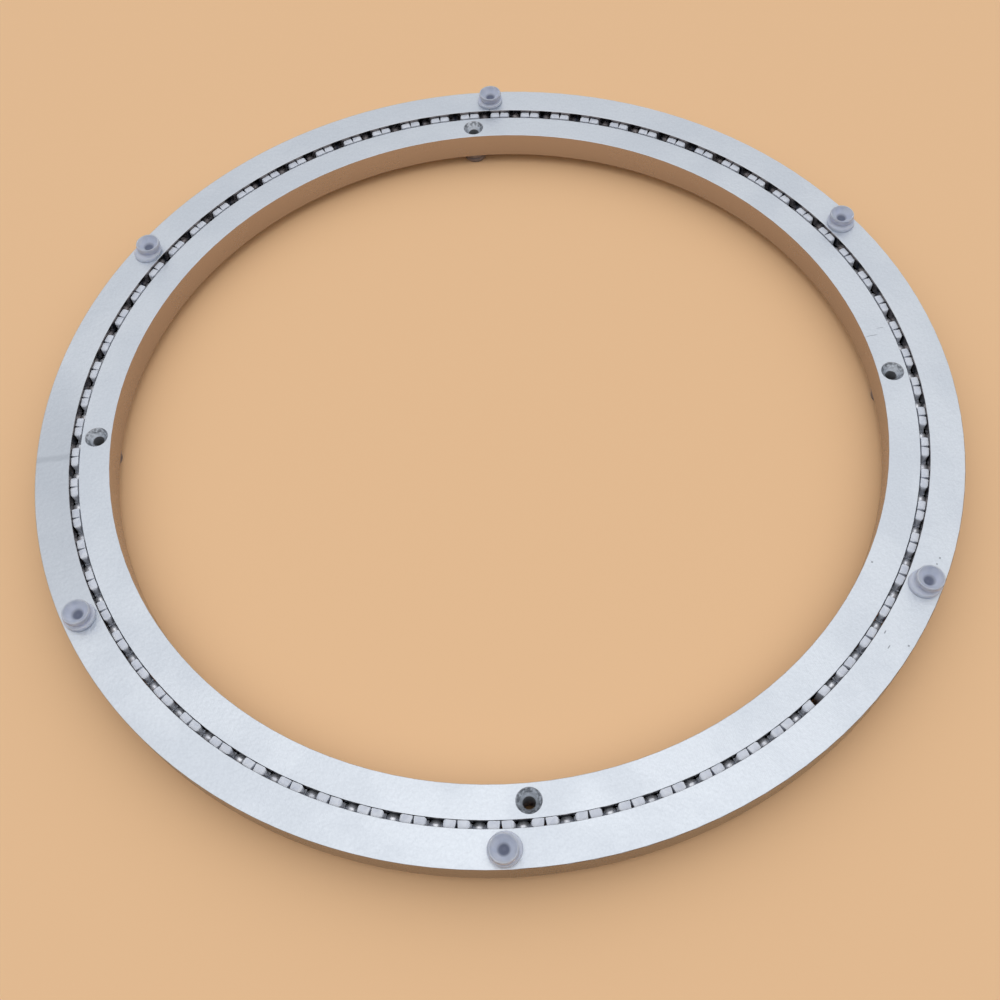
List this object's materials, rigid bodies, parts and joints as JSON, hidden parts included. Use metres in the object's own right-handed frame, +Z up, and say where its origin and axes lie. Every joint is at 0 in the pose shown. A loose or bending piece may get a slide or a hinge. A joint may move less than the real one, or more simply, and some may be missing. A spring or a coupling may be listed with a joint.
{
  "type": "lazy susan bearing",
  "caption": "Aluminium ring turntable bearing: outer ring turns on a row of caged steel balls round a fixed inner ring, with soft silicone top pads and feet.",
  "frame": {"origin": "centre of the rings on the surface the feet stand on", "axes": "+Z up along the turning axis, +X through the first screw hole of the inner ring"},
  "size_m": [0.35, 0.35, 0.0225],
  "materials": {
    "outer_ring": "satin anodised, fine turned grain",
    "inner_ring": "satin anodised, fine turned grain",
    "grommet": "translucent silicone, soft gloss",
    "retainer": "natural white moulded acetal",
    "ball": "polished bearing steel"
  },
  "bodies": {
    "base": {"inner_ring": "inner_ring", "foot_1": "grommet", "foot_2": "grommet", "foot_3": "grommet", "foot_4": "grommet"},
    "turntable": {"outer_ring": "outer_ring", "top_pad_1": "grommet", "top_pad_2": "grommet", "top_pad_3": "grommet", "top_pad_4": "grommet", "top_pad_5": "grommet", "top_pad_6": "grommet"},
    "ball_row": {"retainers_1": "retainer", "retainers_2": "retainer", "retainers_3": "retainer", "retainers_4": "retainer", "retainers_5": "retainer", "retainers_6": "retainer", "retainers_7": "retainer", "retainers_8": "retainer", "balls_1": "ball", "balls_2": "ball", "balls_3": "ball", "balls_4": "ball", "balls_5": "ball", "balls_6": "ball", "balls_7": "ball", "balls_8": "ball"}
  },
  "joints": [
    {"name": "turntable_turn", "type": "hinge", "parent": "base", "child": "turntable", "pos_m": [0, 0, 0.01125], "axis": [0, 0, 1], "continuous": true},
    {"name": "ball_row_turn", "type": "hinge", "parent": "base", "child": "ball_row", "pos_m": [0, 0, 0.01125], "axis": [0, 0, 1], "continuous": true}
  ],
  "couplings": [
    {"joint": "ball_row_turn", "follows": "turntable_turn", "ratio": 0.507}
  ]
}
